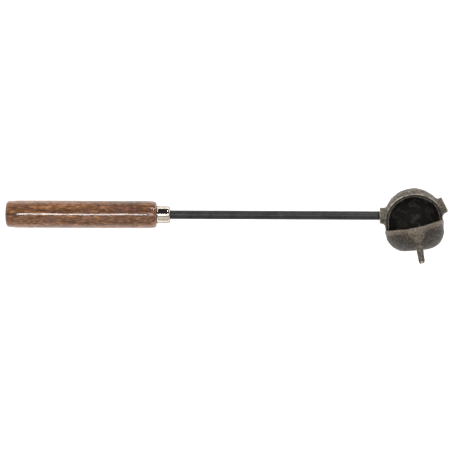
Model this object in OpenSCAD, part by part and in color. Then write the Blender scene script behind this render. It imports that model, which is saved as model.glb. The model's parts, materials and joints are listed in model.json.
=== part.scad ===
// Casting ladle: a cast-iron hooded bowl with a pouring spout and two tapped bosses,
// a round steel rod screwed into one of them, and a turned wooden handle with a metal ferrule.
// The ladle lies at rest, belly and handle on the bench, bowl mouth up.
// Origin: centre of the flat butt face of the handle. X runs up the tool to the bowl.

/* [Handle] */
// Largest diameter of the wooden handle
handle_d = 20; // [17:0.5:27]
// Length of the handle from butt to front face
handle_l = 109; // [85:0.5:150]
// Amount the handle's radius narrows at each end
end_taper = 0.5; // [0:0.1:1.5]
// Length of the taper at the butt
butt_taper_l = 10; // [6:0.5:16]
// Length of the taper at the front
front_taper_l = 7; // [4:0.5:12]
// Rounding of the handle's end edges
end_round = 2.2; // [0.8:0.1:2.6]
// Length of rod held inside the handle
tang_l = 60; // [40:1:72]

/* [Ferrule] */
// Outside diameter of the ferrule
ferrule_d = 12; // [11:0.1:14.4]
// Length of the ferrule
ferrule_l = 9.6; // [6:0.5:14]
// Wall of the ferrule cup
ferrule_wall = 0.8; // [0.5:0.1:1.2]
// Rounding of the ferrule's front edge
ferrule_round = 1.6; // [0.8:0.1:2]
// How far the ferrule's rolled rear lip stands out
ferrule_lip = 0.5; // [0.3:0.1:0.8]

/* [Rod] */
// Diameter of the steel rod
rod_d = 6.35; // [5:0.05:7.5]
// Bare rod between the ferrule and the boss
rod_l = 150.7; // [80:0.1:300]
// Diameter of the screwed end, at the root of its thread
tenon_d = 5.2; // [4:0.1:5.8]
// How far the screwed end shows past the bowl's inner wall
tenon_show = 1.2; // [0:0.1:3]
// Bevel on the rod's ends and shoulder
rod_bevel = 0.4; // [0.2:0.1:0.5]

/* [Bowl] */
// Outside radius of the bowl
bowl_r = 21; // [18:0.5:28]
// Thickness of the casting
wall = 2.6; // [2:0.1:3.5]
// Length of the straight barrel between the domed end and the spout end
barrel_l = 10.2; // [7:0.1:16]
// Corner radius of the spout end
corner_r = 13.5; // [10:0.5:16]
// Slope of the rim from the hood up to the far end
rim_slope = 27.5; // [15:0.5:35]
// Height of the rim plane over the bowl's middle
rim_z = 3.5; // [1:0.1:6]
// Width of the rolled lip along the hood's edge
lip_w = 3.4; // [2.8:0.1:4.4]
// How far the rolled lip stands above the hood
lip_rise = 0.9; // [0.4:0.1:1.2]
// Length of hood from the spout end to the middle of the lip
hood_l = 15.7; // [12:0.1:18]
// Turn of the round bowl against the lip and spout, about its domed end
bowl_turn = 4.5; // [0:0.5:6]

/* [Spout] */
// Length of the spout beyond the bowl
spout_l = 10.5; // [6:0.5:18]
// Diameter of the spout at its tip
spout_tip_d = 4.2; // [3.8:0.1:5]
// Diameter of the spout where it leaves the hood
spout_root_d = 5.6; // [5:0.1:6.4]
// Bore of the spout
spout_bore_d = 2.4; // [1.6:0.1:2.8]
// Length of spout buried in the hood
spout_sunk = 8.5; // [7:0.5:9.5]
// Height of the spout above the bowl's middle
spout_z = 15.5; // [14.5:0.1:15.8]
// Sideways offset of the spout
spout_x = 0.3; // [0:0.1:1]
// Half width of the raised web at the lip
web_w = 8.5; // [5:0.5:10]
// How far the web's narrow end runs on past the spout's root
web_over = 2; // [1:0.5:4]
// How far the web stands above the hood
web_rise = 0.6; // [0.3:0.1:0.8]

/* [Bosses] */
// Diameter of each tapped boss
boss_d = 11.7; // [10:0.1:13]
// How far each boss stands out from the bowl
boss_l = 3.7; // [2:0.1:8]
// Offset of the rod's axis from the bowl's middle, away from the spout
boss_offset = 2.95; // [1:0.05:4]
// Lean of the spout away from square to the rod
lean = 10; // [0:1:15]
// Widening at the root of each boss
boss_fillet = 2.2; // [1:0.1:2.6]
// How much further the spare boss turns away from the spout than the rod's boss
spare_turn = 6; // [0:1:8]

/* [Fits] */
// Radial clearance of the rod in the handle and the ferrule
rod_clear = 0.05; // [0.03:0.01:0.08]
// Radial clearance of the screwed end in its boss
tenon_clear = 0.05; // [0.03:0.01:0.08]
// Radial clearance of the ferrule on the handle's neck
neck_clear = 0.05; // [0.03:0.01:0.08]
// Gap at the blind end of the tang and of the neck
end_clear = 0.3; // [0.2:0.1:1]

/* [Hidden] */
$fn = 96;
far = 60;
handle_r = handle_d / 2;
front_x = handle_l + ferrule_l;
face_x = front_x + rod_l;
barrel_top = 1.8;
barrel_end = barrel_top - barrel_l;
base_y = barrel_end - corner_r;
lip_y = base_y + hood_l;
lip_sink = lip_w / 4;
lip_x = (lip_y - barrel_top) * tan(bowl_turn);
boss_reach = bowl_r + boss_l;
bowl_x = face_x + boss_reach;
boss_root = sqrt(pow(bowl_r - wall, 2) - pow(boss_d, 2));
seat_l = boss_reach - (bowl_r - wall);
tenon_l = seat_l + tenon_show;
spout_root_y = base_y + spout_sunk;
web_end_y = spout_root_y - web_over;
tip_y = base_y - spout_l;
neck_d = ferrule_d - 2 * (ferrule_wall + neck_clear);
neck_l = ferrule_l - ferrule_wall - end_clear;
rest_arm = bowl_x - butt_taper_l;
rest_tilt = asin(bowl_r / sqrt(pow(rest_arm, 2) + pow(handle_r, 2))) - atan(handle_r / rest_arm);

// Points of an arc, from angle a to angle b
function arc(x, y, r, a, b, steps = 6) =
    [for (i = [0 : steps]) [x + r * cos(a + (b - a) * i / steps), y + r * sin(a + (b - a) * i / steps)]];

// Turns the level tool down until bowl and handle both touch the bench
module laid() {
    rotate([0, -rest_tilt, 0]) children();
}

// Stands a profile's axis along the rod
module along_rod(x = 0) {
    translate([x, 0, 0]) rotate([0, 90, 0]) children();
}

// Places the bowl's own frame: Y away from the spout, Z out of the mouth
module in_bowl() {
    translate([bowl_x, -boss_offset, 0]) rotate([0, 0, lean]) children();
}

// Puts Z out of a boss, from its face; the spare boss is the rod's in a mirror, turned a little further
module on_boss(spare = false) {
    mirror([spare ? 1 : 0, 0, 0])
        rotate([0, 0, -lean])
        translate([-boss_reach, boss_offset, 0])
        rotate([0, 0, spare ? -spare_turn : 0])
        rotate([0, -90, 0])
        children();
}

// Puts Z out of the spout, from its tip
module on_spout() {
    translate([spout_x, tip_y, spout_z]) rotate([90, 0, 0]) children();
}

// Turns a shape about Z into one about Y, with its seam under the belly
module on_belly() {
    rotate([-90, 90, 0]) children();
}

// Half section of the bowl about the spout's direction, grown or shrunk evenly
module bowl_section(grow) {
    intersection() {
        translate([0, barrel_top]) circle(bowl_r + grow);
        translate([0, barrel_top]) square([far, far]);
    }
    translate([0, barrel_end]) square([bowl_r + grow, barrel_l]);
    intersection() {
        translate([bowl_r - corner_r, barrel_end]) circle(corner_r + grow);
        translate([bowl_r - corner_r, barrel_end - far]) square([far, far]);
    }
    translate([0, base_y - grow]) square([bowl_r - corner_r, corner_r + grow]);
}

module bowl_solid(grow = 0) {
    translate([0, barrel_top, 0])
        rotate([0, 0, -bowl_turn])
        translate([0, -barrel_top, 0])
        on_belly()
        rotate_extrude()
        bowl_section(grow);
}

// All that lies above the rim plane, lowered by drop, and beyond from_y
module above_rim(from_y, drop = 0) {
    rise = tan(rim_slope);
    low = rim_z - drop;
    rotate([90, 0, 90])
        linear_extrude(2 * far, center = true)
        polygon([[from_y, low + rise * from_y], [far, low + rise * far], [far, 2 * far], [from_y, 2 * far]]);
}

module rolled_lip() {
    intersection() {
        translate([lip_x, 0, 0])
            on_belly()
            rotate_extrude()
            translate([bowl_r + lip_rise - lip_w / 2, lip_y])
            circle(lip_w / 2);
        above_rim(-far, lip_sink);
    }
}

// Raised triangle on the hood that gathers to the spout
module web() {
    intersection() {
        bowl_solid(web_rise);
        linear_extrude(far)
            polygon([
                [-web_w, lip_y],
                [web_w, lip_y],
                [spout_x + spout_root_d / 2, web_end_y],
                [spout_x - spout_root_d / 2, web_end_y]
            ]);
    }
}

module spout() {
    length = spout_root_y - tip_y;
    tip_r = spout_tip_d / 2;
    on_spout() rotate_extrude() {
        polygon([[0, -length], [spout_root_d / 2, -length], [tip_r, -tip_r], [0, -tip_r]]);
        intersection() {
            translate([0, -tip_r]) circle(tip_r);
            translate([0, -tip_r]) square(tip_r);
        }
    }
}

module boss(spare = false) {
    depth = boss_reach - boss_root;
    on_boss(spare) rotate_extrude()
        polygon([
            [0, 0],
            [boss_d / 2 - rod_bevel, 0],
            [boss_d / 2, -rod_bevel],
            [boss_d / 2, -boss_l / 3],
            [boss_d / 2 + boss_fillet / 3, -boss_l],
            [boss_d / 2 + boss_fillet, -boss_l - boss_fillet],
            [boss_d / 2 + boss_fillet, -depth],
            [0, -depth]
        ]);
}

module boss_hole(spare = false) {
    on_boss(spare)
        translate([0, 0, -boss_reach + boss_root])
        cylinder(d = tenon_d + 2 * tenon_clear, h = far);
}

module ladle_head() {
    color("dimgray") laid() in_bowl() difference() {
        union() {
            difference() {
                union() {
                    bowl_solid();
                    boss();
                    boss(spare = true);
                }
                above_rim(lip_y);
            }
            rolled_lip();
            web();
            spout();
        }
        bowl_solid(-wall);
        boss_hole();
        boss_hole(spare = true);
        on_spout() translate([0, 0, tip_y - spout_root_y]) cylinder(d = spout_bore_d, h = far);
    }
}

module shank() {
    tang_x = handle_l - tang_l;
    color("#333333") laid() along_rod() rotate_extrude()
        polygon([
            [0, tang_x],
            [rod_d / 2 - rod_bevel, tang_x],
            [rod_d / 2, tang_x + rod_bevel],
            [rod_d / 2, face_x - rod_bevel],
            [rod_d / 2 - rod_bevel, face_x],
            [tenon_d / 2, face_x],
            [tenon_d / 2, face_x + tenon_l - rod_bevel],
            [tenon_d / 2 - rod_bevel, face_x + tenon_l],
            [0, face_x + tenon_l]
        ]);
}

module ferrule() {
    outer = ferrule_d / 2;
    inner = outer - ferrule_wall;
    hole = rod_d / 2 + rod_clear;
    color("silver") laid() along_rod(handle_l) rotate_extrude()
        polygon(concat(
            [[inner, 0], [outer + ferrule_lip, 0]],
            arc(outer, ferrule_lip, ferrule_lip, 0, 90, 4),
            arc(outer - ferrule_round, ferrule_l - ferrule_round, ferrule_round, 0, 90),
            [[hole, ferrule_l], [hole, ferrule_l - ferrule_wall], [inner, ferrule_l - ferrule_wall]]
        ));
}

module handle() {
    tip_r = handle_r - end_taper - end_round;
    bore = rod_d / 2 + rod_clear;
    bore_x = handle_l - tang_l - end_clear;
    color("saddlebrown") laid() along_rod() rotate_extrude()
        polygon(concat(
            [[0, 0]],
            arc(tip_r, end_round, end_round, -90, 0),
            [[handle_r, butt_taper_l], [handle_r, handle_l - front_taper_l]],
            arc(tip_r, handle_l - end_round, end_round, 0, 90),
            [
                [neck_d / 2, handle_l],
                [neck_d / 2, handle_l + neck_l],
                [bore, handle_l + neck_l],
                [bore, bore_x],
                [0, bore_x]
            ]
        ));
}

ladle_head();
shank();
ferrule();
handle();
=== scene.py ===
# %% [markdown]
# # A casting ladle in Blender
# The ladle has four pieces: a cast-iron bowl, a blackened steel rod, a plated ferrule and a turned wooden
# handle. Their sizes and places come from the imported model, which is loaded first and never moved. Each
# plain node is then replaced by a finely made surface, and each finish is built from nodes.

# %% The frame
import json
import math

import bpy
import numpy as np
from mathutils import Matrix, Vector


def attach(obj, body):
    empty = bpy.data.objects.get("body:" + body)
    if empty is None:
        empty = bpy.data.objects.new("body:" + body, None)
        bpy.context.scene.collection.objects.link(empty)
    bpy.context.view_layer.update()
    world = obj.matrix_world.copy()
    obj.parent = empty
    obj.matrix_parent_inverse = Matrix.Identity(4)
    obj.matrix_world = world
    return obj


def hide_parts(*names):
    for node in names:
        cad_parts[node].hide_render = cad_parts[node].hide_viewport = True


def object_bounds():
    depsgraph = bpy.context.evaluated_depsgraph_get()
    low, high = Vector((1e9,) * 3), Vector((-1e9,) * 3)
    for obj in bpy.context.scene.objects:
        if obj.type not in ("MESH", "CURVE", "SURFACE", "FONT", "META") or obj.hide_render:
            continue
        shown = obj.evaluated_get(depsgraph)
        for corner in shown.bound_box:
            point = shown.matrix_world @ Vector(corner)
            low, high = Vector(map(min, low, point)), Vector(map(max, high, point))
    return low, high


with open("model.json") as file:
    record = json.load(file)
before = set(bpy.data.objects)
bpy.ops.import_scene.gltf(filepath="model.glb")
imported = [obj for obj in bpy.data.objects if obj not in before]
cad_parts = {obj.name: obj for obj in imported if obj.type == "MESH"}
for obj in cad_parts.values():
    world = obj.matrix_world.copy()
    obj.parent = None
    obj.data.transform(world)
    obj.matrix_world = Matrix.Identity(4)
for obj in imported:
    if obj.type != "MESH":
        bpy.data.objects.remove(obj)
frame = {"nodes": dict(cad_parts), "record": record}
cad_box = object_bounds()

MM = 0.001

# %% [markdown]
# ## Directions of the tool
# The ladle lies on its belly and its handle, so the rod isn't level: it climbs towards the bowl. Every
# turned piece shares that slope. It could be typed in as an angle, but the butt face's own normal already
# holds it, so the axis is read from the frame and stays right if the model changes.

# %% Directions of the tool
mounts = {mount["name"]: mount for mount in frame["record"]["mounts"]}


def unit(vector):
    """The vector divided by its own length."""
    vector = np.asarray(vector, dtype=float)
    return vector / np.linalg.norm(vector)


butt = np.array(mounts["butt_face"]["pos_m"])
along = -unit(mounts["butt_face"]["axis"])
across = np.array([0.0, 1.0, 0.0])
above = np.cross(along, across)
print("tool climbs %.2f degrees" % math.degrees(math.asin(along[2])))


def span(node):
    """Start, end and largest radius of a node about the tool's axis, in metres, from its own vertices."""
    mesh = frame["nodes"][node].data
    points = np.empty(len(mesh.vertices) * 3)
    mesh.vertices.foreach_get("co", points)
    points = points.reshape(-1, 3) - butt
    length = points @ along
    radius = np.linalg.norm(points - length[:, None] * along, axis=1)
    return length.min(), length.max(), radius.max()


handle_span = span("handle")
ferrule_span = span("ferrule")
rod_span = span("shank")
spans = (handle_span, ferrule_span, rod_span)
print("handle, ferrule and rod (m):", [[round(float(v), 4) for v in s] for s in spans])

# %% [markdown]
# ## From arrays to a mesh
# A surface worked out as whole arrays needs one step to become a Blender mesh. Building it face by face
# is slow and hides the shape in loops; handing over the arrays at once keeps each shape a plain formula.

# %% From arrays to a mesh


def mesh_from(name, points, faces, values=None):
    """A smooth-shaded object from (n, 3) points, lists of corner numbers and named point values."""
    mesh = bpy.data.meshes.new(name)
    mesh.from_pydata(points.tolist(), [], faces)
    mesh.polygons.foreach_set("use_smooth", [True] * len(mesh.polygons))
    for key, value in (values or {}).items():
        layer = mesh.attributes.new(key, "FLOAT", "POINT")
        layer.data.foreach_set("value", np.asarray(value, dtype=np.float32))
    mesh.update()
    piece = bpy.data.objects.new(name, mesh)
    bpy.context.scene.collection.objects.link(piece)
    return piece


def arc(centre, radius, start, stop, steps=10):
    """Points (s, r) on a circle about centre, from angle start to angle stop in degrees."""
    turn = np.radians(np.linspace(start, stop, steps))
    return np.stack([centre[0] + radius * np.cos(turn), centre[1] + radius * np.sin(turn)], axis=1)


def resample(profile, step):
    """The same outline with points an even step apart, measured along it."""
    profile = np.asarray(profile, dtype=float)
    length = np.concatenate([[0], np.cumsum(np.linalg.norm(np.diff(profile, axis=0), axis=1))])
    even = np.linspace(0, length[-1], max(4, int(round(length[-1] / step))))
    return np.stack([np.interp(even, length, profile[:, 0]), np.interp(even, length, profile[:, 1])], axis=1)


def turned(name, profile, slices=96, relief=None, values=None, ring=False):
    """A surface of revolution on the tool's axis: the point at distance s and angle a is
    s along the axis plus radius r times (cos a across plus sin a above). relief(s, r, a) changes the radius.
    A ring joins its last row to its first; any other profile starts and ends on the axis."""
    rows = len(profile)
    angle = np.linspace(0, 2 * np.pi, slices, endpoint=False)
    s = np.repeat(profile[:, :1], slices, axis=1)
    r = np.repeat(profile[:, 1:], slices, axis=1)
    a = np.repeat(angle[None, :], rows, axis=0)
    if relief is not None:
        r = r + relief(s, r, a)
    spoke = np.cos(a)[..., None] * across + np.sin(a)[..., None] * above
    points = (butt + s[..., None] * along + r[..., None] * spoke).reshape(-1, 3)
    row = np.arange(rows if ring else rows - 1)
    i, j = np.meshgrid(row, np.arange(slices), indexing="ij")
    below, beside = (i + 1) % rows, (j + 1) % slices
    corners = [i * slices + j, below * slices + j, below * slices + beside, i * slices + beside]
    faces = np.stack(corners, axis=-1).reshape(-1, 4).tolist()
    extra = {key: np.repeat(value, slices) for key, value in (values or {}).items()}
    if not ring:
        ends = np.array([butt + profile[0, 0] * along, butt + profile[-1, 0] * along])
        first, last = len(points), len(points) + 1
        points = np.concatenate([points, ends])
        turn = np.arange(slices)
        faces += np.stack([np.full(slices, first), turn, (turn + 1) % slices], axis=1).tolist()
        base = (rows - 1) * slices
        faces += np.stack([np.full(slices, last), base + (turn + 1) % slices, base + turn], axis=1).tolist()
        extra = {key: np.concatenate([value, value[:1], value[-1:]]) for key, value in extra.items()}
    return mesh_from(name, points, faces, extra)


# %% [markdown]
# ## The wooden handle
# The handle is a dowel turned on a lathe: straight for most of its length, eased in slightly at both
# ends, with rounded corners and a narrower neck that the ferrule is pressed on. A cylinder with a bevel
# would be perfectly straight. Turned wood under brushed varnish isn't, so the radius also swells and dips
# by a few hundredths of a millimetre, which is what breaks up the long highlight on a real handle.

# %% The wooden handle
HANDLE_ROUND = 2.8 * MM
FRONT_ROUND = 2.2 * MM
EASE = 0.5 * MM
BUTT_EASE_L = 10 * MM
FRONT_EASE_L = 7 * MM
WAVE = 0.035 * MM
ROD_CLEAR = 0.05 * MM
NECK_INSET = 1.35 * MM
END_CLEAR = 0.3 * MM
BUTT_DISH = 0.3 * MM
AXIS_GAP = 0.2 * MM
SWELLS = (0.021, 0.0087)
handle_r = handle_span[2]
front = ferrule_span[0]
rod_r = rod_span[2]
bore_r = rod_r + ROD_CLEAR
neck_r = ferrule_span[2] - NECK_INSET
bore_start = rod_span[0] - END_CLEAR


def eased(s):
    """Radius at distance s: full in the middle, less by EASE at each end, on a smooth S curve."""
    back = np.clip(s / BUTT_EASE_L, 0, 1)
    fore = np.clip((front - s) / FRONT_EASE_L, 0, 1)
    smooth = lambda t: t * t * (3 - 2 * t)
    return handle_r - WAVE - EASE * (2 - smooth(back) - smooth(fore))


def handle_profile():
    """Outline of the handle from the butt's centre, over the outside, down the neck and into the bore."""
    body_s = np.linspace(HANDLE_ROUND, front - FRONT_ROUND, 200)
    body = np.stack([body_s, eased(body_s)], axis=1)
    butt_r, front_r = body[0, 1], body[-1, 1]
    neck_end = handle_span[1]
    return np.concatenate([
        [[0, AXIS_GAP], [0, butt_r - HANDLE_ROUND - BUTT_DISH]],
        arc((HANDLE_ROUND, butt_r - HANDLE_ROUND), HANDLE_ROUND, 180, 92),
        body,
        arc((front - FRONT_ROUND, front_r - FRONT_ROUND), FRONT_ROUND, 88, 0),
        [[front, neck_r], [neck_end, neck_r], [neck_end, bore_r]],
        [[bore_start, bore_r], [bore_start, AXIS_GAP]],
    ])


def lathe_relief(s, r, a):
    """Slow swells along the handle, a little out of round, only where the radius is near full."""
    outside = r > 0.8 * handle_r
    swell = np.sin(s * 2 * np.pi / SWELLS[0] + 0.7) * 0.5 + np.sin(s * 2 * np.pi / SWELLS[1] + 2.0) * 0.3
    oval = 0.5 * np.sin(2 * a + s * 40) + 0.3 * np.sin(3 * a - s * 110)
    return np.where(outside, WAVE * 0.5 * (swell + oval), 0)


handle = turned("wooden_handle", resample(handle_profile(), 0.45 * MM), 120, lathe_relief)
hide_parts("handle")
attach(handle, "grip")
print("handle faces:", len(handle.data.polygons))

# %% [markdown]
# ## The ferrule
# The ferrule is a thin cup drawn from sheet metal and plated: a small rolled lip behind, straight sides,
# a soft shoulder in front and a hole for the rod. Because it is one sheet, its outline is drawn all the
# way round the wall, outside and in, and turned once as a ring.

# %% The ferrule
SHEET = 0.8 * MM
SHOULDER = 1.6 * MM
LIP = 0.5 * MM
LIP_GAP = 0.05 * MM
HOLE_ROUND = 0.15 * MM
cup_r = ferrule_span[2] - LIP
cup_end = ferrule_span[1]


def ferrule_profile():
    """Closed outline of the cup's wall: lip, side, shoulder, front face, hole and inside."""
    inner = cup_r - SHEET
    inner_shoulder = SHOULDER - SHEET
    return np.concatenate([
        [[front + LIP_GAP, inner]],
        arc((front + LIP, cup_r), LIP, 180, 95, 8),
        arc((front + 2.1 * LIP, cup_r + 0.35 * LIP), 0.35 * LIP, 200, 268, 6),
        [[front + 3 * LIP, cup_r], [cup_end - SHOULDER - 0.1 * MM, cup_r]],
        arc((cup_end - SHOULDER, cup_r - SHOULDER), SHOULDER, 88, 4, 14),
        arc((cup_end - HOLE_ROUND, bore_r + HOLE_ROUND), HOLE_ROUND, 0, -90, 5),
        [[cup_end - SHEET, bore_r], [cup_end - SHEET, inner - inner_shoulder]],
        arc((cup_end - SHOULDER, inner - inner_shoulder), inner_shoulder, 4, 88, 8),
        [[front + LIP_GAP, inner]],
    ])


ferrule = turned("plated_ferrule", resample(ferrule_profile(), 0.11 * MM)[:-1], 112, ring=True)
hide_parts("ferrule")
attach(ferrule, "grip")
print("ferrule faces:", len(ferrule.data.polygons))

# %% [markdown]
# ## The rod
# The rod is one bar of steel: a hidden tang, a long bare stretch and a screwed end that passes through
# the bowl's boss and shows inside. A thread can be a separate coil laid on the bar, but a cut thread is a
# groove in the bar's own surface, so it is made as relief: the radius falls in a V wherever distance
# along the bar, less one pitch for each turn round it, comes to a whole number of pitches.

# %% The rod
PITCH = 1.27 * MM
THREAD_DEPTH = 0.42 * MM
BEVEL = 0.4 * MM
tenon_r = 2.6 * MM
SEAT_L = 6.3 * MM
TENON_SHOW = 1.2 * MM
WEAR_L = 1.2 * MM
face_s = rod_span[1] - SEAT_L - TENON_SHOW


def rod_profile():
    """Outline of the bar from the tang to the screwed end, with closer rows along the thread."""
    start, end = rod_span[0], rod_span[1]
    bare = resample([[start + BEVEL, rod_r], [face_s - BEVEL, rod_r]], 1.2 * MM)
    screw = resample([[face_s + 0.02 * MM, tenon_r], [end - BEVEL, tenon_r]], 0.07 * MM)
    return np.concatenate([
        [[start, 0.1 * MM], [start, rod_r - BEVEL]],
        bare,
        [[face_s, rod_r - BEVEL], [face_s, tenon_r + 0.02 * MM]],
        screw,
        [[end, tenon_r - BEVEL], [end, 0.1 * MM]],
    ])


def cut_thread(s, r, a):
    """A V groove one pitch apart, fading in at the shoulder."""
    phase = s / PITCH - a / (2 * np.pi)
    depth = np.abs((phase % 1.0) * 2 - 1)
    on_screw = (s > face_s) & (r > 0.8 * tenon_r) & (r < 1.01 * tenon_r)
    fade = np.clip((s - face_s) / PITCH, 0, 1)
    return np.where(on_screw, -THREAD_DEPTH * depth * fade, 0)


profile = rod_profile()
wear_rows = np.clip((profile[:, 0] - face_s + WEAR_L) / WEAR_L, 0, 1)
rod = turned("steel_rod", profile, 64, cut_thread, {"edge": wear_rows})
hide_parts("shank")
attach(rod, "rod")
print("rod faces:", len(rod.data.polygons))

# %% [markdown]
# ## The bowl's own directions
# The bowl is set on the rod at a lean, so its shape is easiest to describe about itself: Y away from the
# spout, Z up out of the mouth, millimetres, and zero at the middle of its barrel. The spout's bore gives
# Y, the rod gives the plane they share, and the spare boss gives the place.

# %% The bowl's own directions
BOWL_R = 21.0
WALL = 2.6
BOSS_L = 3.7
BOSS_OFFSET = 2.95
bowl_y = -unit(mounts["spout_bore"]["axis"])
bowl_z = unit(np.cross(along, bowl_y))
bowl_x = np.cross(bowl_y, bowl_z)
reach = BOWL_R + BOSS_L


def in_plan(direction):
    """A world direction as x and y in the bowl's own plan."""
    return np.array([direction @ bowl_x, direction @ bowl_y])


rod_out = in_plan(-along)
spare_out = in_plan(unit(mounts["spare_boss"]["axis"]))
rod_side = np.array([rod_out[1], -rod_out[0]])
rod_face = reach * rod_out + BOSS_OFFSET * rod_side
spare_face = rod_face * [-1, 1]
lean = math.atan2(rod_out[1], -rod_out[0])
bore_middle = spare_face - spare_out * (reach - BOWL_R + WALL) / 2
bore_offset = MM * (bore_middle[0] * bowl_x + bore_middle[1] * bowl_y)
bowl_origin = np.array(mounts["spare_boss"]["pos_m"]) - bore_offset
spout_at = (np.array(mounts["spout_bore"]["pos_m"]) - bowl_origin) / MM
SPOUT_X = float(spout_at @ bowl_x)
SPOUT_Z = float(spout_at @ bowl_z)
print("lean %.1f degrees, bowl middle" % math.degrees(lean), np.round(bowl_origin, 4))
print("spout at", round(SPOUT_X, 3), round(SPOUT_Z, 3), "mm in the bowl's own frame")

# %% [markdown]
# ## The casting as a field
# Molten iron fills a sand mould, so every inside corner comes out rounded and bowl, lip, web, bosses and
# spout run into each other. Patches of surface would have to be trimmed and filleted at every join. A
# distance field does it in one formula: each form is a function that is negative inside the iron, a soft
# minimum joins two forms with a fillet, and a soft maximum cuts one away with a rounded edge. This is the
# one piece that isn't a grid of two parameters, because a single grid can't carry a bowl, a tube and
# three holes.

# %% Soft joins


def join(a, b, fillet):
    """The nearer of two forms, blended over the fillet's width."""
    overlap = np.maximum(fillet - np.abs(a - b), 0) / fillet
    return np.minimum(a, b) - overlap * overlap * fillet / 4


def cut(a, b, edge):
    """Form a with form b taken away, its new edge rounded."""
    return -join(-a, b, edge)


# %% Sizes of the casting, in millimetres
BARREL_TOP = 1.8
BARREL_END = -8.4
CORNER_R = 13.5
BOWL_TURN = math.radians(4.5)
LIP_Y = -6.2
LIP_X = (LIP_Y - BARREL_TOP) * math.tan(BOWL_TURN)
LIP_SAG = 2.0
LIP_SLANT = 0.03
LIP_SET = 0.51
LIP_R = 1.7
LIP_RISE = 0.5
RIM_Z = 3.5
RIM_SLOPE = math.radians(27.5)
BOSS_R = 5.85
HOLE_R = 2.65
GROOVE = 0.4
SPOUT_TIP_R = 2.1
SPOUT_ROOT_R = 2.8
SPOUT_TIP_Y = -32.4
SPOUT_ROOT_Y = -13.4
SPOUT_BORE_R = 1.2
WEB_HALF = 8.5
WEB_RISE = 0.6
WEB_L = 9.7
WEB_END = 0.5
CAVITY_CLEAR = 8
BOSS_DEPTH = 12
LIP_DROP = 0.85

# %% Fillets and rounded edges of the casting, in millimetres
BOSS_FILLET = 2.4
RIM_EDGE = 0.5
WEB_FILLET = 1.0
LIP_FILLET = 0.9
SPOUT_FILLET = 1.6
INNER_EDGE = 0.6
TAPPED_EDGE = 0.25
BORE_EDGE = 0.3
BORE_END_Y = -12.5

# %% [markdown]
# Each form below takes arrays x, y and z and returns one array of distances. The bowl is the simplest way
# to see it: behind the barrel it is a ball, along the barrel a tube, and at the spout end a disc with a
# rounded corner, and one formula for the radius from the spout's direction covers all three.

# %% The forms of the casting


def bowl_form(x, y, z):
    """Distance to the outside: a ball, a barrel and a rounded disc on one axis, turned about the ball."""
    c, s = math.cos(BOWL_TURN), math.sin(BOWL_TURN)
    x, y = c * x - s * (y - BARREL_TOP), s * x + c * (y - BARREL_TOP) + BARREL_TOP
    rho = np.hypot(x, z)
    ball = np.hypot(rho, np.maximum(y - BARREL_TOP, 0)) - BOWL_R
    flat = np.maximum(rho - (BOWL_R - CORNER_R), 0)
    corner = np.hypot(flat, np.maximum(BARREL_END - y, 0)) - CORNER_R
    return np.where(y < BARREL_END, corner, ball)


def lip_line(x):
    """Where the hood's edge lies: a slanting line that sags towards the spout in the middle."""
    share = (x - LIP_X) / BOWL_R
    return LIP_Y + LIP_SLANT * (x - LIP_X) + LIP_SAG * (np.clip(share * share, 0, 1) - LIP_SET)


def above_rim(y, z, drop=0.0):
    """Positive above the sloping rim plane."""
    return (z - RIM_Z + drop) * math.cos(RIM_SLOPE) - y * math.sin(RIM_SLOPE)


def lip_form(x, y, z):
    """A rolled bead round the hood's edge, ending just under the rim."""
    bead = np.hypot(np.hypot(x - LIP_X, z) - (BOWL_R + LIP_RISE - LIP_R), y - lip_line(x)) - LIP_R
    return cut(bead, above_rim(y, z, LIP_DROP), 0.5)


def web_form(x, y, z):
    """A triangle raised on the hood: bowl surface plus a rise, between two lines that gather to the spout."""
    share = np.clip((LIP_Y - y) / WEB_L, 0, 1)
    half = WEB_HALF + (SPOUT_ROOT_R * 0.75 - WEB_HALF) * share
    side = (np.abs(x - SPOUT_X * share) - half) * 0.8
    ends = np.maximum(y - LIP_Y, LIP_Y - WEB_L - WEB_END - y)
    plan = np.maximum(np.maximum(side, ends), CAVITY_CLEAR - z)
    return -join(-(bowl_form(x, y, z) - WEB_RISE), -plan, 0.6)


def spout_form(x, y, z):
    """A tube that tapers to a rounded tip."""
    radial = np.hypot(x - SPOUT_X, z - SPOUT_Z)
    share = np.clip((SPOUT_ROOT_Y - y) / (SPOUT_ROOT_Y - SPOUT_TIP_Y), 0, 1)
    side = radial - (SPOUT_ROOT_R + (SPOUT_TIP_R - SPOUT_ROOT_R) * share)
    tip_y = SPOUT_TIP_Y + SPOUT_TIP_R
    tip = np.hypot(radial, y - tip_y) - SPOUT_TIP_R
    return np.where(y < tip_y, tip, np.maximum(side, y - SPOUT_ROOT_Y))


def boss_frame(x, y, side):
    """Distance out along a boss's axis and across it; side is -1 for the rod's boss and 1 for the spare."""
    face, direction = (rod_face, rod_out) if side < 0 else (spare_face, spare_out)
    dx, dy = x - face[0], y - face[1]
    out = dx * direction[0] + dy * direction[1] + reach
    off = dy * direction[0] - dx * direction[1]
    return out, off


def boss_form(x, y, z, side):
    """A round boss with a slightly eased face."""
    out, off = boss_frame(x, y, side)
    radial = np.hypot(off, z) - BOSS_R
    ends = np.maximum(out - reach, BOSS_DEPTH - out)
    return -join(-radial, -ends, 0.7)


def hole_form(x, y, z, side):
    """A tapped hole: a cylinder whose radius rises in a V once each pitch."""
    out, off = boss_frame(x, y, side)
    turn = np.arctan2(z, off) / (2 * np.pi)
    depth = np.abs(((out * MM / PITCH + side * turn) % 1.0) * 2 - 1)
    fade = np.clip((reach - out) / 1.5, 0, 1)
    return np.maximum(np.hypot(off, z) - HOLE_R - GROOVE * depth * fade, CAVITY_CLEAR - out)


# %% [markdown]
# Sand-cast iron is never quite true. Two dozen weak waves at fixed angles and wavelengths of a few
# millimetres give the faces the slight unevenness that shows in their highlights; the fine grain of the
# sand is left to the finish.

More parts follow.
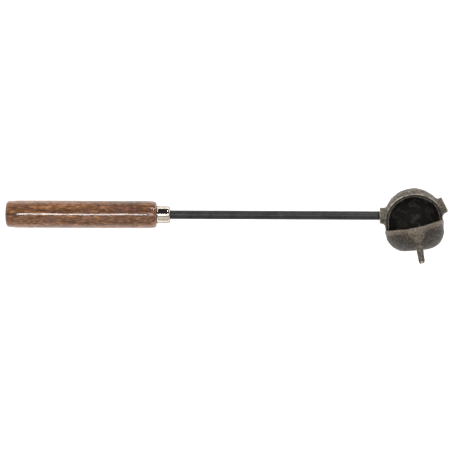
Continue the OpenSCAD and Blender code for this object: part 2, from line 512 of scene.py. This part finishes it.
# %% The whole casting
rng = np.random.default_rng(11)
WAVES = rng.normal(size=(24, 3))
WAVES *= (2 * np.pi / rng.uniform(3.5, 11, 24) / np.linalg.norm(WAVES, axis=1))[:, None]
WAVE_START = rng.uniform(0, 2 * np.pi, 24)
UNEVEN = 0.022


def uneven(x, y, z):
    """Sum of weak sine waves through space."""
    total = np.zeros_like(x)
    for wave, start in zip(WAVES, WAVE_START):
        total += np.sin(wave[0] * x + wave[1] * y + wave[2] * z + start)
    return total * UNEVEN


def casting(x, y, z):
    """Signed distance to the finished casting."""
    outside = bowl_form(x, y, z)
    solid = join(outside, boss_form(x, y, z, -1), BOSS_FILLET)
    solid = join(solid, boss_form(x, y, z, 1), BOSS_FILLET)
    mouth = np.maximum(-above_rim(y, z), lip_line(x) - y)
    solid = cut(solid, mouth, RIM_EDGE)
    solid = join(solid, web_form(x, y, z), WEB_FILLET)
    solid = join(solid, lip_form(x, y, z), LIP_FILLET)
    solid = join(solid, spout_form(x, y, z), SPOUT_FILLET)
    solid = cut(solid, outside + WALL, INNER_EDGE)
    solid += uneven(x, y, z)
    solid = cut(solid, hole_form(x, y, z, -1), TAPPED_EDGE)
    solid = cut(solid, hole_form(x, y, z, 1), TAPPED_EDGE)
    bore = np.maximum(np.hypot(x - SPOUT_X, z - SPOUT_Z) - SPOUT_BORE_R, y - BORE_END_Y)
    return cut(solid, bore, BORE_EDGE)


# %% [markdown]
# ## From the field to a surface
# The field is sampled on a grid. Every grid edge whose ends differ in sign crosses the surface; each cell
# with such edges gets one vertex at the mean of its crossings, and each crossing edge gets the four-sided
# face between the four cells around it. This net gives clean squares, where marching cubes gives slivers.
# The vertices then slide along the field's slope until they lie on the surface itself.

# %% A net over the field


def grid_axes(low, high, step):
    """Three evenly spaced coordinate arrays that cover a box."""
    return [np.arange(low[i], high[i] + step, step) for i in range(3)]


def net(field, axes, step):
    """Vertices and four-sided faces of the surface where the sampled field is zero."""
    shape = np.array(field.shape)
    cells = shape - 1
    total = np.zeros((int(np.prod(cells)), 3))
    count = np.zeros(len(total))
    quads = []
    start = np.array([axis[0] for axis in axes])
    for direction in range(3):
        near = np.take(field, np.arange(shape[direction] - 1), axis=direction)
        far = np.take(field, np.arange(1, shape[direction]), axis=direction)
        index = np.argwhere((near < 0) != (far < 0))
        u, v = [d for d in range(3) if d != direction]
        inside = (index[:, u] > 0) & (index[:, v] > 0) & (index[:, u] < cells[u]) & (index[:, v] < cells[v])
        index = index[inside]
        a, b = near[tuple(index.T)], far[tuple(index.T)]
        crossing = start + index * step
        crossing[:, direction] += step * a / (a - b)
        around = []
        for back_u, back_v in ((1, 1), (0, 1), (0, 0), (1, 0)):
            cell = index.copy()
            cell[:, u] -= back_u
            cell[:, v] -= back_v
            flat = np.ravel_multi_index(cell.T, cells)
            for k in range(3):
                total[:, k] += np.bincount(flat, crossing[:, k], len(total))
            count += np.bincount(flat, minlength=len(total))
            around.append(flat)
        quad = np.stack(around, axis=1)
        outward = (a < 0) != (direction == 1)
        quads.append(np.where(outward[:, None], quad, quad[:, ::-1]))
    used = np.flatnonzero(count)
    number = np.full(len(total), -1)
    number[used] = np.arange(len(used))
    return total[used] / count[used, None], number[np.concatenate(quads)]


def slope(points, step):
    """The field's gradient at each point, by central differences."""
    result = np.empty_like(points)
    for k in range(3):
        shift = np.zeros(3)
        shift[k] = step
        result[:, k] = (casting(*(points + shift).T) - casting(*(points - shift).T)) / (2 * step)
    return result


SLOPE_STEP = 0.05
LEAST_SLOPE = 0.25
LONGEST_MOVE = 0.2


def settle(points, rounds=3):
    """Moves each point down the field's slope by its own distance, a few times."""
    for _ in range(rounds):
        gradient = slope(points, SLOPE_STEP)
        size = np.maximum((gradient ** 2).sum(axis=1), LEAST_SLOPE)
        move = np.clip(casting(*points.T) / size, -LONGEST_MOVE, LONGEST_MOVE)
        points = points - move[:, None] * gradient
    return points


# %% The bowl's surface
CELL = 0.41
GRID_LOW = (-26.5, -33.2, -22.6)
GRID_HIGH = (26.5, 24.4, 23.6)
axes = grid_axes(GRID_LOW, GRID_HIGH, CELL)
field = casting(*[part.copy() for part in np.meshgrid(*axes, indexing="ij")])
points, quads = net(field, axes, CELL)
points = settle(points)
print("bowl points:", len(points), "faces:", len(quads))

# %% [markdown]
# Facts about each point steer the finish, and the field gives them all, so they are stored with the
# points. Soot says how far a point lies inside the cavity, where slag blackens the iron, and rim marks
# the cut face of the wall, which the finish darkens as painted shade. A further mask marks the lip and
# web, which are painted paler, partly as dressed iron and partly as painted light on faces turned to the
# light, and the mask named scale marks the spout end, which is darkened as painted shade.

# %% Cavity and edges
SOOT_FADE = 2.0
SOOT_OVER = 0.2
CAVITY_START, CAVITY_BAND = 0.94, 0.06
RIM_START, RIM_BAND = 0.12, 0.12
DRESSED_AND_LIT_START, DRESSED_AND_LIT_BAND = 1.2, 0.9
SPOUT_SHADE_Y, SPOUT_SHADE_BAND, SPOUT_SHADE_OUT = -5, 5, 1.3
outside = bowl_form(*points.T)
depth = -outside / WALL
in_cavity = np.clip((depth - CAVITY_START) / CAVITY_BAND, 0, 1)
below = -above_rim(points[:, 1], points[:, 2])
soot = in_cavity * np.clip(below / SOOT_FADE + SOOT_OVER, 0, 1)
rim = np.clip((depth - RIM_START) / RIM_BAND, 0, 1) * (1 - in_cavity)
at = points.T
nearest = np.minimum(web_form(*at), lip_form(*at))
# This mask marks the lip and web, painted paler partly as dressed iron and partly as painted light.
dressed_and_lit = np.clip(DRESSED_AND_LIT_START - nearest / DRESSED_AND_LIT_BAND, 0, 1)
# The mask named scale is painted shade: it darkens the outside towards the spout end.
scale = np.clip((SPOUT_SHADE_Y - at[1]) / SPOUT_SHADE_BAND, 0, 1) * np.clip(SPOUT_SHADE_OUT - outside, 0, 1)

# %% [markdown]
# How sharply the surface bends tells its proud edges from its creases. Proud edges are painted bright,
# partly as wear from handling and partly as painted highlights where edges catch the light; creases are
# darkened as painted shade. The sum of the field's second differences in the three directions is positive
# on an edge and negative in a crease.

# %% Proud edges and creases
BEND_STEP = 0.5
EDGE_START, EDGE_BAND = 0.25, 1.2
CREASE_START, CREASE_BAND = 0.15, 1.0
CAVITY_EDGE_LOSS = 0.3
bend = -6 * casting(*points.T)
for k in range(3):
    shift = np.zeros(3)
    shift[k] = BEND_STEP
    bend += casting(*(points + shift).T) + casting(*(points - shift).T)
bend /= BEND_STEP * BEND_STEP
edge = np.clip((bend - EDGE_START) / EDGE_BAND, 0, 1) * (1 - CAVITY_EDGE_LOSS * in_cavity)
crease_shade = np.clip((-bend - CREASE_START) / CREASE_BAND, 0, 1)

# %% The bowl in its place
local = points[:, :1] * bowl_x + points[:, 1:2] * bowl_y + points[:, 2:] * bowl_z
masks = {"soot": soot, "edge": edge, "crease_shade": crease_shade, "dressed_and_lit": dressed_and_lit, "rim": rim, "scale": scale}
bowl = mesh_from("cast_bowl", bowl_origin + MM * local, quads.tolist(), masks)
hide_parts("ladle_head")
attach(bowl, "bowl")
print("edge share %.3f, crease share %.3f" % (float((edge > 0.3).mean()), float((crease_shade > 0.3).mean())))

# %% [markdown]
# ## Shared effects
# Three effects turn up on more than one finish: a fine grain that roughens the surface, slow smudges that
# vary its colour and gloss, and wear on proud edges. Each is a node group with named sockets, so that one
# change mends it everywhere. Groups put out only masks and heights; the shader stays in its material.

# %% Building node trees


def socket(group, name, direction, kind="NodeSocketFloat", value=None):
    """A named socket on a node group."""
    made = group.interface.new_socket(name=name, in_out=direction, socket_type=kind)
    if value is not None:
        made.default_value = value
    return made


class Tree:
    """A short way to add nodes to one tree and link them by socket name or number."""

    def __init__(self, tree):
        self.tree = tree

    def add(self, kind, inputs=None, **settings):
        node = self.tree.nodes.new(kind)
        for key, value in settings.items():
            setattr(node, key, value)
        for key, value in (inputs or {}).items():
            self.feed(node, key, value)
        return node

    def feed(self, node, key, value):
        target = node.inputs[key]
        if isinstance(value, bpy.types.NodeSocket):
            self.tree.links.new(value, target)
        else:
            target.default_value = value

    def math(self, operation, a, b=0.0, clamp=False):
        node = self.add("ShaderNodeMath", {0: a, 1: b}, operation=operation, use_clamp=clamp)
        return node.outputs[0]

    def remap(self, value, low, high, to_low=0.0, to_high=1.0):
        inputs = {"Value": value, "From Min": low, "From Max": high, "To Min": to_low, "To Max": to_high}
        return self.add("ShaderNodeMapRange", inputs).outputs["Result"]

    def noise(self, vector, scale, detail=3.0, rough=0.5, distortion=0.0):
        inputs = {"Vector": vector, "Scale": scale, "Detail": detail}
        inputs.update({"Roughness": rough, "Distortion": distortion})
        return self.add("ShaderNodeTexNoise", inputs).outputs["Fac"]

    def mix(self, factor, a, b, mode="MIX"):
        node = self.add("ShaderNodeMix", data_type="RGBA", blend_type=mode)
        self.feed(node, 0, factor)
        self.feed(node, 6, a)
        self.feed(node, 7, b)
        return node.outputs[2]

    def attribute(self, name):
        return self.add("ShaderNodeAttribute", attribute_name=name).outputs["Fac"]


def effect(name, inputs, outputs):
    """A new node group with float inputs and outputs and a Vector input, as (tree, in, out)."""
    group = bpy.data.node_groups.new(name, "ShaderNodeTree")
    socket(group, "Vector", "INPUT", "NodeSocketVector")
    for key, value in inputs.items():
        socket(group, key, "INPUT", value=value)
    for key in outputs:
        socket(group, key, "OUTPUT")
    tree = Tree(group)
    return tree, tree.add("NodeGroupInput").outputs, tree.add("NodeGroupOutput")


# %% Fine grain
tree, given, result = effect("fine_grain", {"Size": 900.0, "Pits": 0.4}, ["Height", "Specks"])
soft = tree.noise(given["Vector"], given["Size"], 4.0, 0.6)
coarse = tree.noise(given["Vector"], tree.math("MULTIPLY", given["Size"], 0.31), 2.0, 0.5)
pit_size = tree.math("MULTIPLY", given["Size"], 0.55)
pit_cells = tree.add("ShaderNodeTexVoronoi", {"Vector": given["Vector"], "Scale": pit_size})
pit = tree.remap(pit_cells.outputs["Distance"], 0.0, 0.34)
height = tree.math("ADD", tree.math("MULTIPLY", soft, 0.6), tree.math("MULTIPLY", coarse, 0.5))
height = tree.math("SUBTRACT", height, tree.math("MULTIPLY", tree.math("SUBTRACT", 1.0, pit), given["Pits"]))
tree.feed(result, "Height", height)
tree.feed(result, "Specks", tree.remap(soft, 0.42, 0.66))
print("groups:", [group.name for group in bpy.data.node_groups])

# %% Slow smudges
tree, given, result = effect("slow_smudges", {"Size": 60.0, "Contrast": 0.5}, ["Mask"])
cloud = tree.noise(given["Vector"], given["Size"], 5.0, 0.62, 0.4)
half = tree.math("MULTIPLY", given["Contrast"], 0.3)
low = tree.math("SUBTRACT", 0.5, tree.math("SUBTRACT", 0.32, half))
high = tree.math("ADD", 0.5, tree.math("SUBTRACT", 0.32, half))
tree.feed(result, "Mask", tree.remap(cloud, low, high))

# %% Wear on proud edges
tree, given, result = effect("edge_wear", {"Edge": 0.0, "Amount": 0.6, "Size": 500.0}, ["Mask"])
chips = tree.noise(given["Vector"], given["Size"], 3.0, 0.6)
rubbed = tree.math("ADD", given["Edge"], tree.math("MULTIPLY", chips, 1.4))
tree.feed(result, "Mask", tree.math("MULTIPLY", tree.remap(rubbed, 1.35, 1.85), given["Amount"]))

# %% [markdown]
# ## Helpers for the finishes
# Every finish starts the same way: a Principled shader, the object's own coordinates and a few groups.
# Numbers that are the same all over the surface, such as the coat's roughness, are set on the shader
# itself.

# %% Helpers for the finishes


def linear(red, green, blue):
    """A colour given as 0 to 255 in display values, as linear light with full alpha."""
    values = [v / 255 for v in (red, green, blue)]
    return [v / 12.92 if v <= 0.04045 else ((v + 0.055) / 1.055) ** 2.4 for v in values] + [1.0]


def finish(name, **constants):
    """A new material as (material, tree, shader, object coordinates)."""
    material = bpy.data.materials.new(name)
    material.use_nodes = True
    tree = Tree(material.node_tree)
    shader = material.node_tree.nodes["Principled BSDF"]
    for key, value in constants.items():
        shader.inputs[key.replace("_", " ")].default_value = value
    place = tree.add("ShaderNodeTexCoord").outputs["Object"]
    return material, tree, shader, place


def grouped(tree, name, vector, **values):
    """A shared effect placed in a material with its own values."""
    node = tree.add("ShaderNodeGroup", node_tree=bpy.data.node_groups[name])
    tree.feed(node, "Vector", vector)
    for key, value in values.items():
        tree.feed(node, key, value)
    return node.outputs


def bump(tree, shader, height, distance, strength=1.0):
    """Feeds a height to the shader's normal, as relief of that depth in metres."""
    node = tree.add("ShaderNodeBump", {"Height": height, "Distance": distance, "Strength": strength})
    tree.feed(shader, "Normal", node.outputs["Normal"])


# %% [markdown]
# ## Cast iron
# The bowl is bare grey iron. Sand leaves a fine pebbled skin, the outside is warm grey with darker
# patches and the inside is black with oxide and soot. The proud edges are painted lighter, partly as
# rubbed iron and partly as painted highlights; the lip and web are painted paler, partly as painted
# light; and creases, the rim's cut face and the spout end are darkened as painted shade. It could be a
# metal shader alone, but foundry skin is half scale and half metal, so the shader is only partly metallic
# and quite rough.

# %% Cast iron
IRON_DARK = linear(54, 53, 50)
IRON_LIGHT = linear(152, 145, 132)
# The bright colour serves both rubbed iron and painted highlights on proud edges.
IRON_WEAR_AND_HIGHLIGHT = linear(206, 200, 188)
# The soot colour also serves as painted shade in creases, on the rim's cut face and at the spout end.
IRON_SOOT_AND_SHADE = linear(36, 36, 35)
IRON_RUST = linear(112, 90, 70)
material, tree, shader, place = finish("cast_iron_skin", Metallic=0.4, Specular_IOR_Level=0.3)
grain = grouped(tree, "fine_grain", place, Size=1500.0, Pits=0.5)
patch = grouped(tree, "slow_smudges", place, Size=95.0, Contrast=0.5)["Mask"]
tint = grouped(tree, "slow_smudges", place, Size=210.0, Contrast=0.8)["Mask"]
worn = grouped(tree, "edge_wear", place, Edge=tree.attribute("edge"), Amount=0.85, Size=420.0)["Mask"]
fleck = tree.noise(place, 880.0, 3.0, 0.75)
# The lip and web are painted paler: partly dressed iron, partly painted light on faces turned to the light.
dressed_and_lit_pale = tree.math("MULTIPLY", tree.attribute("dressed_and_lit"), 0.5)
pale = tree.math("ADD", tree.math("MULTIPLY", patch, 0.35), dressed_and_lit_pale)
# Painted shade: the spout end is made darker through the mask named scale.
pale = tree.math("SUBTRACT", pale, tree.math("MULTIPLY", tree.attribute("scale"), 0.25))
pale = tree.math("ADD", pale, tree.remap(fleck, 0.36, 0.66, -0.6, 0.8), clamp=True)
colour = tree.mix(pale, IRON_DARK, IRON_LIGHT)
dressed_brown = tree.math("MULTIPLY", tree.attribute("dressed_and_lit"), 0.25)
brown = tree.math("ADD", tree.math("MULTIPLY", tint, 0.3), dressed_brown)
colour = tree.mix(brown, colour, IRON_RUST)
colour = tree.mix(tree.math("MULTIPLY", grain["Specks"], 0.35), colour, IRON_DARK)
# Painted shade: creases are darkened towards the soot colour.
colour = tree.mix(tree.math("MULTIPLY", tree.attribute("crease_shade"), 0.55), colour, IRON_SOOT_AND_SHADE)
# Painted shade: the spout end is darkened towards the soot colour through the mask named scale.
colour = tree.mix(tree.math("MULTIPLY", tree.attribute("scale"), 0.35), colour, IRON_SOOT_AND_SHADE)
# Painted shade: the rim's cut face is darkened towards the soot colour.
colour = tree.mix(tree.math("MULTIPLY", tree.attribute("rim"), 0.7), colour, IRON_SOOT_AND_SHADE)
# Proud edges are painted bright: partly wear, partly painted highlights where edges catch the light.
colour = tree.mix(worn, colour, IRON_WEAR_AND_HIGHLIGHT)
colour = tree.mix(tree.math("MULTIPLY", tree.attribute("soot"), 0.96), colour, IRON_SOOT_AND_SHADE)
tree.feed(shader, "Base Color", colour)
dull = tree.math("ADD", 0.5, tree.math("MULTIPLY", patch, 0.14))
dull = tree.math("SUBTRACT", dull, tree.math("MULTIPLY", worn, 0.18))
tree.feed(shader, "Roughness", tree.math("ADD", dull, tree.math("MULTIPLY", tree.attribute("soot"), 0.2)))
bump(tree, shader, grain["Height"], 0.16 * MM)
bowl.data.materials.append(material)
print("finish:", material.name)

# %% [markdown]
# ## Blackened steel
# The rod is mild steel with a black oxide finish, so it is dark but still a smooth metal: a soft, narrow
# highlight runs along it. The oxide is thinner where the thread has been screwed in and out, so a little
# bright steel shows there.

# %% Blackened steel
OXIDE = linear(36, 36, 37)
OXIDE_LIGHT = linear(56, 56, 55)
STEEL = linear(168, 166, 162)
material, tree, shader, place = finish("black_oxide_steel", Metallic=0.25, IOR=1.3)
grain = grouped(tree, "fine_grain", place, Size=2600.0, Pits=0.1)
patch = grouped(tree, "slow_smudges", place, Size=130.0, Contrast=0.4)["Mask"]
worn = grouped(tree, "edge_wear", place, Edge=tree.attribute("edge"), Amount=0.5, Size=900.0)["Mask"]
colour = tree.mix(patch, OXIDE, OXIDE_LIGHT)
colour = tree.mix(worn, colour, STEEL)
tree.feed(shader, "Base Color", colour)
tree.feed(shader, "Roughness", tree.math("ADD", 0.32, tree.math("MULTIPLY", patch, 0.1)))
bump(tree, shader, grain["Height"], 0.02 * MM)
rod.data.materials.append(material)
print("finish:", material.name)

# %% [markdown]
# ## Nickel plate
# The ferrule is plated and polished, so nearly all of its look is what it reflects. A perfect mirror
# would look drawn. Real plate has a faint warm tint, a fine grain from handling, and a haze of
# fingerprints that softens the reflection in places. The sides are set to mirror less than real nickel
# does where they turn away from the eye: that stands in for the darker room round a real ferrule.

# %% Nickel plate
NICKEL = linear(222, 214, 203)
NICKEL_HAZE = linear(186, 176, 163)
NICKEL_SIDE = (0.1, 0.095, 0.09, 1.0)
material, tree, shader, place = finish("nickel_plate", Metallic=1.0, Specular_Tint=NICKEL_SIDE)
grain = grouped(tree, "fine_grain", place, Size=1800.0, Pits=0.05)
haze = grouped(tree, "slow_smudges", place, Size=330.0, Contrast=0.5)["Mask"]
tree.feed(shader, "Base Color", tree.mix(haze, NICKEL, NICKEL_HAZE))
tree.feed(shader, "Roughness", tree.math("ADD", 0.06, tree.math("MULTIPLY", haze, 0.06)))
bump(tree, shader, grain["Height"], 0.008 * MM)
ferrule.data.materials.append(material)
print("finish:", material.name)

# %% [markdown]
# ## Varnished wood
# The handle is a brown, open-pored hardwood under gloss varnish. Wood grain is long in one direction, so
# the coordinates are turned to the tool's axis and squeezed along it before any pattern is read. Slow
# bands give the growth rings, a finer layer the fibres, and short dark dashes the pores. The varnish is
# the shader's coat, with its own gentle waves, over a duller base.

# %% Varnished wood
WOOD_DARK = linear(50, 29, 17)
WOOD_MID = linear(112, 73, 45)
WOOD_LIGHT = linear(180, 130, 92)
WOOD_PORE = linear(34, 20, 13)
WOOD_PLUM = linear(122, 84, 78)
material, tree, shader, place = finish("varnished_hardwood", Specular_IOR_Level=0.15, Coat_Weight=0.85,
                                       Coat_Roughness=0.08, Coat_IOR=1.45)
tilt = math.asin(along[2])
turned_to_tool = tree.add("ShaderNodeMapping", {"Vector": place, "Rotation": (0.0, tilt, 0.0)}).outputs[0]


def stretched(length_share):
    """Coordinates squeezed along the tool, so that patterns read from them are drawn out along the grain."""
    inputs = {"Vector": turned_to_tool, "Scale": (length_share, 1.0, 1.0)}
    return tree.add("ShaderNodeMapping", inputs).outputs[0]


rings = tree.noise(stretched(0.1), 150.0, 3.0, 0.55, 0.8)
fibre = tree.noise(stretched(0.1), 1500.0, 4.0, 0.6)
mottle = tree.noise(stretched(0.32), 760.0, 4.0, 0.75)
pores = tree.noise(stretched(0.2), 1500.0, 2.0, 0.5)
shade = tree.math("ADD", tree.math("MULTIPLY", rings, 0.35), tree.math("MULTIPLY", fibre, 0.35))
shade = tree.math("ADD", shade, tree.math("MULTIPLY", mottle, 0.9))
ramp = tree.add("ShaderNodeValToRGB", {"Fac": tree.remap(shade, 0.62, 0.98)})
ramp.color_ramp.elements[0].color = WOOD_DARK
ramp.color_ramp.elements[1].color = WOOD_LIGHT
ramp.color_ramp.elements.new(0.52).color = WOOD_MID
pore_mask = tree.remap(pores, 0.6, 0.68)
plum = tree.remap(tree.noise(stretched(0.3), 190.0, 3.0, 0.6), 0.48, 0.7, 0.0, 0.5)
colour = tree.mix(plum, ramp.outputs["Color"], WOOD_PLUM)
colour = tree.mix(tree.math("MULTIPLY", pore_mask, 0.75), colour, WOOD_PORE)
tree.feed(shader, "Base Color", colour)
tree.feed(shader, "Roughness", tree.math("SUBTRACT", 0.55, tree.math("MULTIPLY", fibre, 0.15)))
height = tree.math("SUBTRACT", tree.math("MULTIPLY", fibre, 0.35), pore_mask)
bump(tree, shader, height, 0.05 * MM)
film = tree.noise(stretched(0.25), 240.0, 2.0, 0.5)
film = tree.math("SUBTRACT", film, tree.math("MULTIPLY", pore_mask, 0.12))
coat_bump = tree.add("ShaderNodeBump", {"Height": film, "Distance": 0.12 * MM})
tree.feed(shader, "Coat Normal", coat_bump.outputs["Normal"])
handle.data.materials.append(material)
print("finish:", material.name)

# %% [markdown]
# ## Floor, light and camera
# The ladle lies on plain white paper. Two sources high above keep shadows faint; the one towards the butt
# draws the thin line of light along the handle. A small key from the far side models the bowl, and weaker
# ones fill from the left, the near side and the right. The room is pale on the near side and dark on the
# far side, which the bright metal mirrors. The camera looks straight down from far off, so that nothing
# leans.

# %% Floor
FLOOR_HALF = 3.0
FLOOR_X = 0.15
FLOOR_GLOW = 0.55
floor_z = float(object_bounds()[0][2])
corners = np.array([[-1, -1, 0], [1, -1, 0], [1, 1, 0], [-1, 1, 0]]) * FLOOR_HALF + [FLOOR_X, 0, floor_z]
floor = mesh_from("paper_floor", corners, [[0, 1, 2, 3]])
material, tree, shader, place = finish("white_paper", Roughness=0.9)
paper = tree.mix(tree.noise(place, 40.0), linear(250, 250, 250), linear(254, 254, 254))
tree.feed(shader, "Base Color", paper)
shader.inputs["Emission Color"].default_value = (1, 1, 1, 1)
shader.inputs["Emission Strength"].default_value = FLOOR_GLOW
floor.data.materials.append(material)

# %% Light
middle = Vector([(cad_box[0][i] + cad_box[1][i]) / 2 for i in range(3)])


def softbox(name, place, size, power, colour=(1, 1, 1)):
    """A rectangular light at a place, given from the ladle's middle, turned to face it."""
    lamp = bpy.data.lights.new(name, "AREA")
    lamp.shape = "RECTANGLE"
    lamp.size, lamp.size_y = size
    lamp.energy = power
    lamp.color = colour
    made = bpy.data.objects.new(name, lamp)
    made.location = middle + Vector(place)
    facing = (-Vector(place)).to_track_quat("-Z", "Y")
    made.rotation_euler = facing.to_euler()
    bpy.context.scene.collection.objects.link(made)
    return made


softbox("handle_strip", (-0.33, 0.0, 1.6), (0.28, 0.26), 6.0)
softbox("overhead", (0.2, 0.0, 1.6), (0.7, 0.4), 5.5)
softbox("far_key", (0.22, 1.15, 0.9), (0.22, 0.16), 8.0)
softbox("left_fill", (-0.9, 0.8, 0.8), (0.4, 0.4), 4.0)
softbox("near_side", (-0.2, -1.3, 1.1), (1.6, 1.0), 1.5, (1.0, 0.96, 0.91))
softbox("right_side", (1.3, 0.1, 0.9), (0.6, 0.8), 3.0)

# %% The room around it
world = bpy.data.worlds.new("studio")
world.use_nodes = True
sky = Tree(world.node_tree)
background = world.node_tree.nodes["Background"]
split = sky.add("ShaderNodeSeparateXYZ", {"Vector": sky.add("ShaderNodeTexCoord").outputs["Generated"]})
near_wall, ceiling, far_wall = (0.62, 0.59, 0.55, 1), (0.28, 0.28, 0.28, 1), (0.02, 0.02, 0.02, 1)
room = sky.mix(sky.remap(split.outputs["Y"], -0.35, -0.1), near_wall, ceiling)
sky.feed(background, "Color", sky.mix(sky.remap(split.outputs["Y"], 0.05, 0.35), room, far_wall))
background.inputs["Strength"].default_value = 1.0
bpy.context.scene.world = world
bpy.context.scene.view_settings.view_transform = "Standard"

# %% Camera
VIEW_WIDTH = 0.3247
DISTANCE = 2.6
AIM_ALONG = 0.158
AIM_ACROSS = -0.00725
ROLL = math.radians(0.26)
camera_data = bpy.data.cameras.new("straight_down")
camera_data.sensor_width = 36
camera_data.lens = camera_data.sensor_width * DISTANCE / VIEW_WIDTH
camera_data.clip_end = 20
camera = bpy.data.objects.new("straight_down", camera_data)
camera.location = (AIM_ALONG, AIM_ACROSS, DISTANCE)
camera.rotation_euler = (0, 0, ROLL)
bpy.context.scene.collection.objects.link(camera)
bpy.context.scene.camera = camera

# %% End
bpy.context.view_layer.update()
